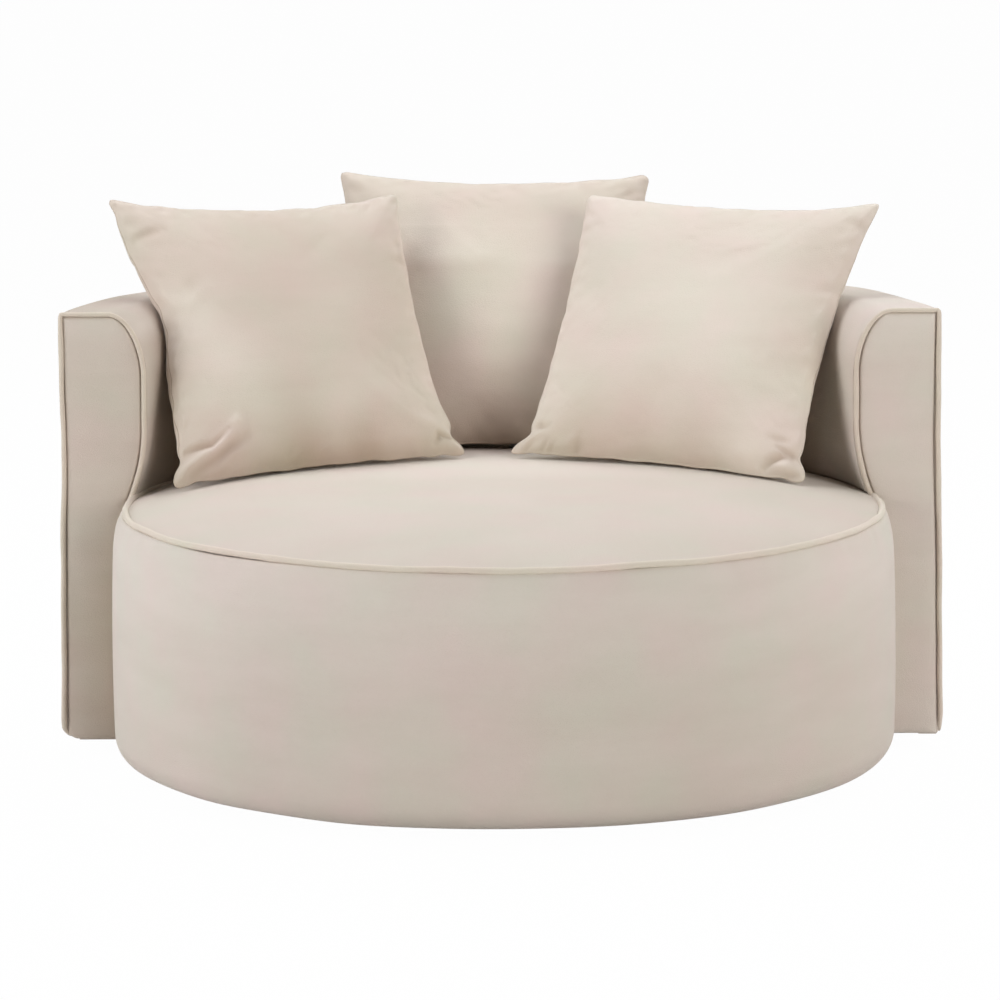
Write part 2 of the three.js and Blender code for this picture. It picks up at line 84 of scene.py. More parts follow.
class Socket:
    """A shader output that can be added, subtracted and multiplied with plain operators."""

    def __init__(self, tree, output):
        self.tree, self.output = tree, output

    def math(self, operation, other):
        node = self.tree.nodes.new("ShaderNodeMath")
        node.operation = operation
        self.tree.links.new(self.output, node.inputs[0])
        if isinstance(other, Socket):
            self.tree.links.new(other.output, node.inputs[1])
        else:
            node.inputs[1].default_value = other
        return Socket(self.tree, node.outputs[0])

    def __add__(self, other):
        return self.math("ADD", other)

    def __sub__(self, other):
        return self.math("SUBTRACT", other)

    def __mul__(self, other):
        return self.math("MULTIPLY", other)

    def mix(self, low, high):
        """A colour that goes from low to high as this value goes from 0 to 1."""
        node = self.tree.nodes.new("ShaderNodeMix")
        node.data_type = "RGBA"
        self.tree.links.new(self.output, node.inputs["Factor"])
        for name, colour in (("A", low), ("B", high)):
            socket = [s for s in node.inputs if s.name == name and s.type == "RGBA"][0]
            socket.default_value = (*colour, 1)
        return Socket(self.tree, [s for s in node.outputs if s.type == "RGBA"][0])

    def to(self, socket):
        self.tree.links.new(self.output, socket)


def linear(red, green, blue):
    """An sRGB colour of 0 to 255 as linear shares."""
    shares = [value / 255 for value in (red, green, blue)]
    return tuple(s / 12.92 if s <= 0.04045 else ((s + 0.055) / 1.055) ** 2.4 for s in shares)


def noise(tree, scale, detail=2.0, stretch=(1, 1, 1)):
    """Noise over a piece's own coordinates; a stretch above 1 shortens it along that axis."""
    coordinates = tree.nodes.new("ShaderNodeTexCoord")
    mapping = tree.nodes.new("ShaderNodeMapping")
    mapping.inputs["Scale"].default_value = stretch
    texture = tree.nodes.new("ShaderNodeTexNoise")
    texture.inputs["Scale"].default_value = scale
    texture.inputs["Detail"].default_value = detail
    tree.links.new(coordinates.outputs["Object"], mapping.inputs["Vector"])
    tree.links.new(mapping.outputs["Vector"], texture.inputs["Vector"])
    return Socket(tree, texture.outputs["Fac"])


def material(name, roughness):
    """A new material, with its node tree and its shader."""
    made = bpy.data.materials.new(name)
    made.use_nodes = True
    shader = made.node_tree.nodes["Principled BSDF"]
    shader.inputs["Roughness"].default_value = roughness
    return made, made.node_tree, shader


def bump(tree, shader, height, distance):
    """Gives a shader fine relief from a height of 0 to 1."""
    node = tree.nodes.new("ShaderNodeBump")
    node.inputs["Distance"].default_value = distance
    height.to(node.inputs["Height"])
    tree.links.new(node.outputs["Normal"], shader.inputs["Normal"])


def velvet(name, colour):
    """Velvet with patches of two near hues, brushed marks and a fine pile. A per-point attribute paints
    light and shade into its colour.
    """
    made, tree, shader = material(name, 0.9)
    pink = linear(*[v + d for v, d in zip(colour, pink_shift)])
    green = linear(*[v + d for v, d in zip(colour, green_shift)])
    patches = noise(tree, patch_scale)
    brushed = noise(tree, brush_scale, 3, brush_stretch)
    pile = noise(tree, pile_scale)
    contrast = (patches - 0.5) * 2.4 + 0.5
    hue = contrast.mix(pink, green)
    painted_light_input = tree.nodes.new("ShaderNodeAttribute")
    painted_light_input.attribute_name = "painted_light"
    tone = (brushed - 0.5) * 0.4 + (pile - 0.5) * 0.15 + Socket(tree, painted_light_input.outputs["Fac"])
    # The shade mixes the pile and brushing with the painted light and shade of each point.
    shade = (tone * 0.2 + 0.5).mix(darkest_pile_and_painted_shade, lightest_pile_and_painted_light)
    blend = tree.nodes.new("ShaderNodeMix")
    blend.data_type = "RGBA"
    blend.blend_type = "MULTIPLY"
    blend.inputs["Factor"].default_value = 1
    rgba = [s for s in blend.inputs if s.type == "RGBA"]
    hue.to(rgba[0])
    shade.to(rgba[1])
    tree.links.new([s for s in blend.outputs if s.type == "RGBA"][0], shader.inputs["Base Color"])
    ((brushed - 0.5) * 0.16 + 0.88).to(shader.inputs["Roughness"])
    shader.inputs["Sheen Weight"].default_value = 0.32
    shader.inputs["Sheen Roughness"].default_value = 0.45
    shader.inputs["Sheen Tint"].default_value = (1, 0.97, 0.93, 1)
    shader.inputs["Specular IOR Level"].default_value = 0.25
    bump(tree, shader, pile + brushed * 0.6, pile_depth)
    return made


def painted_light(made, shade):
    """Stores the painted light (above 0) or painted shade (below 0) that lightens or darkens each point of a
    piece. The shade is one number, a number for each point, or a function of x, y and z."""
    places = np.array([vertex.co for vertex in made.data.vertices])
    given = shade(*places.T) if callable(shade) else shade
    values = np.broadcast_to(given, len(places)).astype(np.float32)
    made.data.attributes.new("painted_light", "FLOAT", "POINT").data.foreach_set("value", values)


panel_velvet = velvet("panel_velvet", velvet_colour)

# Seat top. A round velvet panel over fibre and foam, crowned in the middle and pulled down at its edge
# to the piping that joins it to the drum's side.
piping_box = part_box("seat_piping")
drum_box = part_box("drum_side_cover")
axis_y = (piping_box[0].y + piping_box[1].y) / 2
piping_height = (piping_box[0].z + piping_box[1].z) / 2
piping_radius = (piping_box[1].z - piping_box[0].z) / 2
piping_setback = 0.015
seam_gap = 0.0003
drum_radius = drum_box[1].x
piping_ring = drum_radius - piping_setback
seat_crown = 0.042
seat_edge = piping_ring - piping_radius - seam_gap
seat_bottom = 0.305
seat_inside = drum_radius - 0.0427
seat_shift = 0.005
seat_gathers = 0.0007
seat_slack = 0.0011
seat_rings = 60
seat_columns = 420


def ramp(value, start, end):
    """0 up to the start and 1 from the end on, in a straight line between them."""
    return np.clip((value - start) / (end - start), 0, 1)


def near(distance, reach):
    """1 at no distance, fading over the reach."""
    return np.exp(-distance / reach)


def beyond(distance, reach):
    """0 at no distance, growing to 1 over the reach."""
    return 1 - np.exp(-distance / reach)


def hill(value, middle, width):
    """1 at the middle, falling smoothly to both sides."""
    return np.exp(-((value - middle) / width) ** 2)


def seat_level(radius):
    """The height of the crowned seat at a distance from the axis."""
    return piping_height + seat_crown * (1 - np.clip(radius / piping_ring, 0, 1) ** 4)


def all_round(profile, columns):
    """The angles of each profile point for a full turn."""
    return np.broadcast_to(np.linspace(0, 2 * math.pi, columns, endpoint=False), (len(profile), columns))


def turned(profile, spans):
    """Points of a closed profile of [radius, height], each turned round the axis to its own angles."""
    radius, height = profile[:, 0, None], profile[:, 1, None]
    return np.stack([radius * np.cos(spans), radius * np.sin(spans) + 0 * height, height + 0 * spans], 2)


def outward(profile):
    """The outward direction of each point of a closed profile, as [radial, upward]."""
    along = np.roll(profile, -1, 0) - np.roll(profile, 1, 0)
    side = np.stack([along[:, 1], -along[:, 0]], 1)
    area = np.sum(profile[:, 0] * np.roll(profile[:, 1], -1) - np.roll(profile[:, 0], -1) * profile[:, 1])
    return side * np.sign(area) / (np.linalg.norm(side, axis=1, keepdims=True) + 1e-9)


def swell(points, spans, profile, amount):
    """Moves turned points outwards by an amount for each."""
    normal = outward(profile)
    points[..., 0] += normal[:, 0, None] * np.cos(spans) * amount
    points[..., 1] += normal[:, 0, None] * np.sin(spans) * amount
    points[..., 2] += normal[:, 1, None] * amount
    return points


def ripple(points, wavelength, seed, waves=14):
    """Smooth unevenness of about -1 to 1, the same on each run."""
    rng = np.random.default_rng(seed)
    wavelength = np.broadcast_to(wavelength, 3)
    total = np.zeros(points.shape[:-1])
    for _ in range(waves):
        direction = rng.normal(size=3)
        direction /= np.linalg.norm(direction)
        wave = direction * 2 * math.pi / wavelength * rng.uniform(0.6, 1.3)
        total += np.sin(points @ wave + rng.uniform(0, 2 * math.pi))
    return total / math.sqrt(waves) / 1.2


def grid(rows, columns, close_rows, close_columns):
    """Quads over a grid of points, row by row."""
    row = np.arange(rows if close_rows else rows - 1)
    column = np.arange(columns if close_columns else columns - 1)
    r, c = np.meshgrid(row, column, indexing="ij")
    r2, c2 = (r + 1) % rows, (c + 1) % columns
    quads = np.stack([r * columns + c, r * columns + c2, r2 * columns + c2, r2 * columns + c], 2)
    return quads.reshape(-1, 4).tolist()


def piece(name, points, faces, finish, sharp=40):
    """A closed mesh object at the origin, its doubles merged and its faces outwards."""
    mesh = bpy.data.meshes.new(name)
    mesh.from_pydata(np.asarray(points).reshape(-1, 3).tolist(), [], faces)
    work = bmesh.new()
    work.from_mesh(mesh)
    bmesh.ops.remove_doubles(work, verts=work.verts, dist=1e-6)
    bmesh.ops.recalc_face_normals(work, faces=work.faces)
    work.to_mesh(mesh)
    work.free()
    mesh.materials.append(finish)
    mesh.shade_smooth()
    mesh.set_sharp_from_angle(angle=math.radians(sharp))
    made = bpy.data.objects.new(name, mesh)
    bpy.context.scene.collection.objects.link(made)
    return made


ring_radii = seat_edge * (1 - np.linspace(1, 0, seat_rings) ** 1.6)
seat_profile = np.array(
    [(0, seat_bottom)] + list(zip(ring_radii, seat_level(ring_radii)))
    + [(seat_edge, piping_height - 0.003), (seat_inside, piping_height - 0.005), (seat_inside, seat_bottom)]
)
seat_spans = all_round(seat_profile, seat_columns)
seat_points = turned(seat_profile, seat_spans)
on_top = np.zeros((len(seat_profile), 1))
on_top[1:seat_rings + 1] = 1
from_edge = np.abs(seat_edge - seat_profile[:, 0, None])
around = turned(np.full((len(seat_profile), 2), (piping_ring, 0)), seat_spans)
gathers = ripple(around, 0.03, 3) * seat_gathers * near(from_edge, 0.016) * beyond(from_edge, 0.004)
slack = ripple(seat_points, 0.3, 5) * seat_slack * beyond(from_edge, 0.05)
seat_points = swell(seat_points, seat_spans, seat_profile, (gathers + slack) * on_top)
seat_points[..., 0] += seat_shift
seat_points[..., 1] += axis_y
seat_top = piece("seat_top", seat_points, grid(len(seat_profile), seat_columns, True, True), panel_velvet)
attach(seat_top, "chair")
# Painted light towards the back of the seat and painted shade towards its right side.
painted_light(seat_top, lambda x, y, z: 0.5 * ramp(y, -0.05, 0.15) - 0.12 * ramp(x, 0, 0.5))
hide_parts("seat_top_cover", "seat_wadding", "seat_foam")

# Drum side. A velvet band over foam, sewn to the piping above, tight round the drum and turned in
# under its rounded bottom edge. Its front has slumped outwards a little, more so at the right.
drum_bottom = drum_box[0].z + seam_gap
drum_corner = 0.042
drum_under = drum_radius - 0.094
drum_hem = drum_bottom + 0.004
drum_shoulder = 0.062
drum_top = piping_height - piping_radius - seam_gap
drum_gathers = 0.0009
drum_slack = 0.0013
right_slump = 0.009
left_slump = 0.0045
straight_rows = 34
drum_columns = 480


def shoulder_line(clear, steps):
    """The section of the drum's rounded upper edge, or a line that stays clear of it."""
    turns = np.linspace(0, math.pi / 2, steps)
    radius = drum_radius + clear - piping_setback * (1 - np.cos(turns))
    return np.stack([radius, drum_top - drum_shoulder * (1 - np.sin(turns))], 1)


turns = np.linspace(0, math.pi / 2, 14)
low_corner = np.stack([
    drum_radius - drum_corner * (1 - np.sin(turns)), drum_bottom + drum_corner * (1 - np.cos(turns))], 1)
shoulder = shoulder_line(0, 26)
straight_heights = np.linspace(low_corner[-1, 1], shoulder[0, 1], straight_rows + 2)[1:-1]
straight = np.stack([np.full(straight_rows, drum_radius), straight_heights], 1)
drum_profile = np.concatenate([
    [(seat_inside, drum_hem), (drum_under, drum_hem), (drum_under, drum_bottom)],
    low_corner, straight, shoulder,
    [(seat_inside, drum_top - 0.002)],
])
drum_spans = all_round(drum_profile, drum_columns)
drum_points = turned(drum_profile, drum_spans)
shown = np.zeros((len(drum_profile), 1))
shown[3:-1] = 1
below_piping = np.abs(drum_top - drum_profile[:, 1, None])
around = turned(np.stack([np.full(len(drum_profile), drum_radius), drum_profile[:, 1] * 0.12], 1), drum_spans)
gathers = ripple(around, 0.034, 11) * drum_gathers * near(below_piping, 0.03)
gathers *= beyond(below_piping, 0.004)
slack = ripple(drum_points * (1, 1, 0.5), 0.26, 12) * drum_slack
drum_points = swell(drum_points, drum_spans, drum_profile, (gathers + slack) * shown)
slump = 1 - np.abs((drum_profile[:, 1, None] - 0.2) / 0.24) ** 2.5
rightness = (1 + np.cos(drum_spans)) / 2
in_front = ramp(np.sin(drum_spans), 0.35, 0.05)
drum_points[..., 0] += seat_shift * rightness
slumped = (right_slump * rightness ** 2 + left_slump * (1 - rightness) ** 2) * np.clip(slump, 0, 1)
drum_points = swell(drum_points, drum_spans, drum_profile, slumped * in_front * shown)
drum_points[..., 1] += axis_y
drum_side = piece("drum_side", drum_points, grid(len(drum_profile), drum_columns, True, True), panel_velvet)
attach(drum_side, "chair")
# Painted light on the drum's side, more towards its top and its left, and less towards its right.
painted_light(drum_side, lambda x, y, z: 0.12 + 0.3 * ramp(z, 0.22, 0.38) - 0.2 * x)
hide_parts("drum_side_cover", "drum_side_foam")

# Seat piping. A cord wrapped in a bias-cut strip of the same velvet, sewn into the seam between the
# seat top and the drum's side. Its colour is painted lighter than the panels', a painted highlight for
# the light it catches, and it wanders a little.
piping_colour = (220, 209, 195)
piping_velvet = velvet("piping_velvet", piping_colour)
piping_fullness = 1.2
piping_rings = 560
cord_sides = 12


def tube(path, normal, radius, closed=True):
    """Rings of a tube along a path; normal is the direction square to the path's own plane."""
    along = np.roll(path, -1, 0) - np.roll(path, 1, 0) if closed else np.gradient(path, axis=0)
    along /= np.linalg.norm(along, axis=1, keepdims=True)
    side = np.cross(along, normal)
    side /= np.linalg.norm(side, axis=1, keepdims=True)
    turn = np.arange(cord_sides) / cord_sides * 2 * math.pi
    reach = np.broadcast_to(radius, len(path))[:, None, None]
    ring = side[:, None] * np.cos(turn)[None, :, None] + np.array(normal) * np.sin(turn)[None, :, None]
    return path[:, None] + ring * reach


ring_turn = np.linspace(0, 2 * math.pi, piping_rings, endpoint=False)
ring_path = np.stack([np.cos(ring_turn), np.sin(ring_turn), 0 * ring_turn], 1) * piping_ring
ring_path[:, 2] = piping_height + 0.0008 + ripple(ring_path, 0.16, 21) * 0.0013
ring_path[:, :2] *= 1.0008 + ripple(ring_path, 0.11, 22)[:, None] * 0.0014
ring_radius = piping_radius * (piping_fullness + ripple(ring_path, 0.045, 23) * 0.07)
ring_points = tube(ring_path, (0, 0, 1), ring_radius)
ring_points[..., 0] += seat_shift
ring_points[..., 1] += axis_y
seat_piping = piece("seat_piping", ring_points, grid(piping_rings, cord_sides, True, True), piping_velvet)
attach(seat_piping, "chair")
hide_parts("seat_piping")

# Wall, inner face and top. One velvet panel goes up from behind the seat, over the padded inner face
# and the rounded inner corner, and across the top to the seam at the outer edge.
wall_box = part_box("wall_outside_cover")
wall_outer = wall_box[1].y - axis_y
wall_bottom = wall_box[0].z
wall_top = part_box("wall_inside_cover")[1].z
wall_inner = drum_radius - 0.042
sleeve_ease = 0.0006
crease_height = piping_height + piping_radius + sleeve_ease
crease_setback = 0.021
crease_rise = 0.120
corner_depth = 0.063
corner_rise = 0.104
facing_y = 0.093
cover_front = facing_y + piping_radius + seam_gap
padding_back = 0.7202
padding_inside = 0.6535
padding_bottom = 0.030
rail_top = 0.6425
wall_belly = 0.0034
wall_slack = 0.0013
wall_gathers = 0.0006
wall_step = 0.007
wall_columns = 340


def lengths(route):
    """How far along a route each of its points lies."""
    return np.concatenate([[0], np.cumsum(np.linalg.norm(np.diff(route, axis=0), axis=1))])


def wall_line(inset=0.0):
    """The wall's section from the bottom of its hidden sleeve, up the inner face and over the top."""
    sleeve = shoulder_line(sleeve_ease + inset, 12)
    clear = piping_ring + piping_radius + sleeve_ease + inset
    share = np.linspace(0, 1, 12)
    crease = np.stack([
        wall_inner + inset + crease_setback * (1 - share) ** 2,
        crease_height + inset + (crease_rise - inset) * share], 1)
    quarter = np.linspace(0, math.pi / 2, 22)
    corner = np.stack([
        wall_inner + inset + (corner_depth - inset) * (1 - np.cos(quarter)),
        wall_top - corner_rise + (corner_rise - inset) * np.sin(quarter)], 1)
    knots = np.concatenate([
        [(sleeve[0, 0], wall_bottom)], sleeve[sleeve[:, 0] > clear], [(clear, crease_height + inset)],
        crease, corner, [(wall_outer - inset - 0.006, wall_top - inset)],
        [(wall_outer - inset - 0.0018, wall_top - inset - 0.0012)]])
    length = lengths(knots)
    marks = np.linspace(0, length[-1], int(length[-1] / wall_step))
    return np.stack([np.interp(marks, length, knots[:, k]) for k in (0, 1)], 1)


def wall_spans(profile, columns, front):
    """Angles of each profile point from the plane of the left arm's front to that of the right."""
    start = np.arcsin(front / profile[:, 0])[:, None]
    return start + np.linspace(0, 1, columns)[None, :] * (math.pi - 2 * start)


def strip(rows, columns):
    """The faces of a closed profile swept from one arm to the other, with its two ends."""
    ends = [[row * columns + column for row in range(rows)] for column in (0, columns - 1)]
    return grid(rows, columns, True, False) + ends


inner_line = wall_line()
inner_profile = np.concatenate([
    inner_line,
    [(wall_outer - 0.0016, wall_top - 0.003), (padding_back, wall_top - 0.0035), (padding_back, rail_top)],
    [(padding_inside, rail_top), (padding_inside, padding_bottom)]])
inner_spans = wall_spans(inner_profile, wall_columns, cover_front)
inner_points = turned(inner_profile, inner_spans)
shown = np.zeros((len(inner_profile), 1))
shown[:len(inner_line)] = (inner_line[:, 1, None] > crease_height + 0.004) * (wall_outer > inner_line[:, :1])
from_front = inner_points[..., 1] - cover_front
from_side = np.abs(wall_outer - inner_profile[:, 0, None])
from_top = np.abs(wall_top - inner_profile[:, 1, None])
rise = ramp(inner_profile[:, 1, None], crease_height, crease_height + 0.06)
belly = wall_belly * beyond(from_front, 0.014) * beyond(from_side + from_top, 0.02) * rise
slack = ripple(inner_points, 0.24, 31) * wall_slack * beyond(from_front, 0.05) * rise
gathers = ripple(inner_points * (0.2, 0.2, 1) + inner_profile[:, 0, None, None], 0.05, 32)
gathers *= wall_gathers * near(from_front, 0.02) * rise
inner_points = swell(inner_points, inner_spans, inner_profile, (belly + slack + gathers) * shown)
inner_points[..., 1] += axis_y
wall_inside = piece("wall_inside", inner_points, strip(len(inner_profile), wall_columns), panel_velvet)
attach(wall_inside, "chair")


def inner_shade(x, y, z):
    """Painted shade on the left arm's top and behind the two outer cushions, where their shadow falls, and
    painted light on the right arm's top, at the left arm's upper inner edge and low down inside the right
    arm."""
    top = np.where(x < 0, 0.95, 0.42) * x * ramp(z, 0.62, 0.72)
    under = ramp(z, 0.712, 0.622)
    left = ramp(x, -0.588, -0.546) * ramp(x, -0.36, -0.52)
    right = ramp(x, 0.545, 0.515) * ramp(x, 0.34, 0.48)
    low_right = ramp(x, 0.53, 0.56) * ramp(z, 0.53, 0.49)
    lit = 0.6 * hill(x, -0.57, 0.05) * ramp(z, 0.68, 0.71)
    return top + lit - 1.5 * left * under - 0.8 * right * under + 0.7 * low_right


painted_light(wall_inside, inner_shade)
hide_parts("wall_inside_cover", "wall_foam")

# Wall, outer face. A thinly padded velvet panel runs round the outside from one arm to the other, sewn
# to the top panel at the upper edge and turned in at the bottom.
foot_rise = 0.036
seam_height = wall_top - 0.009
panel_back = 0.7207
hem_back = 0.7005
hidden_rows = 4
foot_rows = 12
face_rows = 61
outer_slack = 0.0012

foot_turns = np.linspace(0, math.pi / 2, foot_rows)
face_heights = np.linspace(wall_bottom + foot_rise, seam_height, face_rows + 1)[1:]
outer_profile = np.concatenate([
    [(panel_back, wall_top - 0.0037), (panel_back, wall_bottom + 0.016)],
    [(hem_back, wall_bottom + 0.002), (hem_back, wall_bottom)],
    np.stack([np.full(foot_rows, wall_outer), wall_bottom + foot_rise * (1 - np.cos(foot_turns))], 1),
    np.stack([np.full(face_rows, wall_outer), face_heights], 1),
    [(wall_outer - 0.0002, seam_height + 0.003), (wall_outer - 0.0012, seam_height + 0.0053)]])


def foot_depth(angle):
    """How far the foot of the outer panel turns in; the left arm's is fuller than the right one's."""
    return 0.018 - 0.009 * np.cos(angle)


def outer_belly(height, angle):
    """The outer panel stands out more towards the bottom and is hollow half way up, more so at the left."""
    hollow = (0.00315 - 0.00135 * np.cos(angle)) * hill(height, 0.49, 0.13)
    flare = 0.0016 * ramp(height, 0.2, 0.1)
    return 0.0035 * ramp(height, wall_top, wall_top - 0.35) - 0.0012 - hollow + flare


outer_spans = wall_spans(outer_profile, wall_columns, cover_front)
outer_points = turned(outer_profile, outer_spans)
turn_in = np.zeros((len(outer_profile), 1))
turn_in[hidden_rows:hidden_rows + foot_rows, 0] = 1 - np.sin(foot_turns)
turn_in = turn_in * foot_depth(outer_spans)
shown = np.zeros((len(outer_profile), 1))
shown[hidden_rows:-1] = 1
from_front = outer_points[..., 1] - cover_front
from_top = np.abs(wall_top - outer_profile[:, 1, None])
belly = outer_belly(outer_profile[:, 1, None], outer_spans) + 0.002 * beyond(from_front, 0.014)
belly = belly * beyond(from_top, 0.012)
slack = ripple(outer_points, 0.3, 41) * outer_slack * beyond(from_top, 0.04)
slack *= beyond(from_front, 0.05)
outward_step = (belly + slack) * shown - turn_in
outer_points[..., 0] += np.cos(outer_spans) * outward_step
outer_points[..., 1] += np.sin(outer_spans) * outward_step
outer_points[..., 1] += axis_y
wall_outside = piece("wall_outside", outer_points, strip(len(outer_profile), wall_columns), panel_velvet)
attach(wall_outside, "chair")
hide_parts("wall_outside_cover", "wall_outside_wadding")

# Arm fronts. Each arm ends in a padded velvet facing. Piping is sewn round what shows of its edge: from
# the crease beside the seat, over the arm and down the outer side, where it runs out at the rounded foot.
facing_inset = 0.0078
facing_raise = 0.005
facing_back = 0.103
facing_dome = 0.0055
facing_groove = 0.005
facing_slack = 0.0009
facing_rows = 150
facing_columns = 40
welt_radius = 0.0042
welt_raise = 0.0058
welt_rings = 360
welt_fade = 0.03
raise_start = 0.66


def front_edge(inset):
    """The arm's inner edge and top in the plane of its front, up from the floor, as [x, z]."""
    hidden, line = wall_line(seam_gap), wall_line(inset)[:-2]
    line = np.concatenate([hidden[hidden[:, 1] < crease_height], line[line[:, 1] > crease_height + inset]])
    line = np.stack([np.sqrt(line[:, 0] ** 2 - facing_y ** 2), line[:, 1]], 1)
    line[0, 1] = wall_bottom
    return line


def outer_edge(height, side, inset):
    """x of the arm's outer edge at a height, with its rounded foot."""
    drop = np.clip(1 - (height - wall_bottom) / foot_rise, 0, 1)
    angle = math.pi / 2 * (1 - side)
    depth = foot_depth(angle)
    reach = wall_outer + outer_belly(height, angle)
    foot = reach - depth * (1 - np.sqrt(1 - drop ** 2))
    return np.sqrt(np.minimum(reach - inset, foot - inset * 0.1) ** 2 - facing_y ** 2)


def seam_inset(height, high, side):
    """How far the facing's outer seam lies in from the arm's edge. The two arms are sewn unalike."""
    if side == -1:
        return facing_inset + 0.0022 * (high - height) / high - 0.002 * ramp(height, 0.35, 0.5)
    return facing_inset + 0.0035 * hill(height, 0.52, 0.14) - 0.001 * ramp(height, 0.35, 0.25)


def eased(count):
    """Shares from 0 to 1 that crowd closer together near both ends."""
    return 0.5 - 0.5 * np.cos(np.linspace(0, math.pi, count))


def facing_points(side, low, high):
    """The points of a facing's domed front and of its flat back, row by row from the foot up."""
    inner_edge = front_edge(facing_inset)
    inner_edge[:, 1] += facing_raise * ramp(inner_edge[:, 1], raise_start, raise_start + 0.06)
    inner_edge[:, 1] = np.minimum(inner_edge[:, 1], high)
    levels = low + (high - low) * eased(facing_rows)
    rising = np.maximum.accumulate(inner_edge[:, 1] + np.arange(len(inner_edge)) * 1e-9)
    inner_x = np.interp(levels, rising, inner_edge[:, 0])
    inner_x[-1] = inner_edge[np.argmax(rising > high - 1e-6), 0]
    outer_x = outer_edge(levels, side, seam_inset(levels, high, side))
    x = inner_x[:, None] + (outer_x - inner_x)[:, None] * eased(facing_columns)
    z = np.broadcast_to(levels[:, None], x.shape).copy()
    from_edge = np.minimum(np.minimum(x - inner_x[:, None], outer_x[:, None] - x), high - z)
    from_edge = np.minimum(from_edge, (z - low) * 2)
    lift = facing_dome * beyond(from_edge, 0.009) - facing_groove * near(from_edge, 0.0013)
    front = np.stack([x, facing_y + 0.002 - lift, z], 2)
    front[..., 1] += ripple(front, 0.13, 51 + side) * facing_slack * beyond(from_edge, 0.02)
    back = np.stack([x, np.full_like(x, facing_back), z], 2)
    back[[0, -1]] = front[[0, -1]]
    back[:, [0, -1]] = front[:, [0, -1]]
    return np.concatenate([front.reshape(-1, 3), back.reshape(-1, 3)])


def welt_points(side):
    """The rings of an arm's piping, from the crease to the foot, where it thins and runs in."""
    over = front_edge(welt_radius)
    over = over[over[:, 1] > crease_height + piping_radius]
    over[:, 1] += welt_raise * ramp(over[:, 1], raise_start, raise_start + 0.08)
    tucked = (math.sqrt((piping_ring + 0.003) ** 2 - facing_y ** 2), piping_height - 0.001)
    down = np.linspace(wall_top - welt_radius, wall_bottom + 0.004, 150)
    side_line = np.stack([outer_edge(down, side, welt_radius) + 0.0006, down], 1)
    side_line[:, 0] += 0.0006 * (1 + side) * ramp(down, 0.35, 0.25)
    corner = [(side_line[0, 0] - 0.0015, wall_top - welt_radius - 0.0005 + welt_raise)]
    route = np.concatenate([[tucked], over, corner, side_line])
    length = lengths(route)
    marks = np.linspace(0, length[-1], welt_rings)
    to_end = length[-1] - marks
    x, z = [np.interp(marks, length, route[:, k]) for k in (0, 1)]
    path = np.stack([x, np.full(welt_rings, facing_y), z], 1)
    path[:, 1] += 0.009 * ramp(to_end, 0.034, 0) ** 1.5
    fade = ramp(np.minimum(marks, to_end), 0, welt_fade)
    path[:, 0] += ripple(path, 0.12, 61 + side) * 0.0006 * fade
    path[:, 2] += ripple(path, 0.15, 64 + side) * 0.0005 * fade
    reach = welt_radius * (1 + ripple(path, 0.05, 66 + side) * 0.06)
    reach *= 0.35 + 0.65 * ramp(to_end, 0, welt_fade) ** 0.5
    reach *= 1 - 0.14 * ramp(path[:, 2], 0.7, 0.74)
    return tube(path, (0, 1, 0), reach, closed=False)


for side_name, side in (("left", -1), ("right", 1)):
    low = wall_bottom - 0.0008 + 0.0018 * side
    high = wall_top - facing_inset + facing_raise
    points = facing_points(side, low, high)
    points[:, 0] *= side
    points[:, 1] += axis_y
    quads = grid(facing_rows, facing_columns, False, False)
    quads += [[k + facing_rows * facing_columns for k in reversed(quad)] for quad in quads]
    facing = piece(f"{side_name}_facing", points, quads, panel_velvet, 60)
    # Painted light and shade on each facing: the right one lighter, the left one darker, more so low down and
    # next to the drum, lighter just below the top, and a thin line of painted shade along its top edge.
    painted_light(facing, lambda x, y, z: (
        0.22 + side * 0.17 + (side - 1) * 0.2 * ramp(z, 0.43, 0.23)
        + 0.6 * near(np.abs(wall_top - z), 0.025) - 3 * near(np.abs(high - z), 0.0016)
        + (side - 1) * 0.25 * ramp(x, -0.7, -0.63) * ramp(z, 0.45, 0.35)))
    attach(facing, "chair")
    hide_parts(f"{side_name}_arm_facing")

    points = welt_points(side)
    points[..., 0] *= side
    points[..., 1] += axis_y
    ends = [list(range(k, k + cord_sides)) for k in (0, (welt_rings - 1) * cord_sides)]
    quads = grid(welt_rings, cord_sides, False, True) + ends
    arm_piping = piece(f"{side_name}_arm_welt", points, quads, piping_velvet)
    # A little painted shade makes the arm piping slightly darker than the seat piping.
    painted_light(arm_piping, -0.12)
    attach(arm_piping, "chair")
    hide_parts(f"{side_name}_arm_piping")

# Loose cushions. Two square velvet panels sewn together all round and filled: the corners stay as blunt
# ears behind small folds, and the seams are drawn in and pucker. The fullness is partly that of a cushion
# blown up as cloth. They lean on the wall and stand on the seat, the outer two turned to the middle.
cushion_half = 0.262
cushion_depth = 0.148
seam_lip = 0.002
seam_width = 0.001
ear_radius = 0.016
neck_place = 0.042
neck_width = 0.014
low_neck = 0.0085
high_neck = 0.0005
gather_reach = 0.011
roll_in = 0.005
roll_back = 0.007
wall_clear = 0.005
wall_reach = 0.98
seat_clear = 0.0015
push_rounds = 240
cloth_half = 0.28
cloth_steps = 64
cloth_frames = 40
blown_share = 0.35
cushion_colour = (214, 202, 189)
cushion_velvet = velvet("cushion_velvet", cushion_colour)
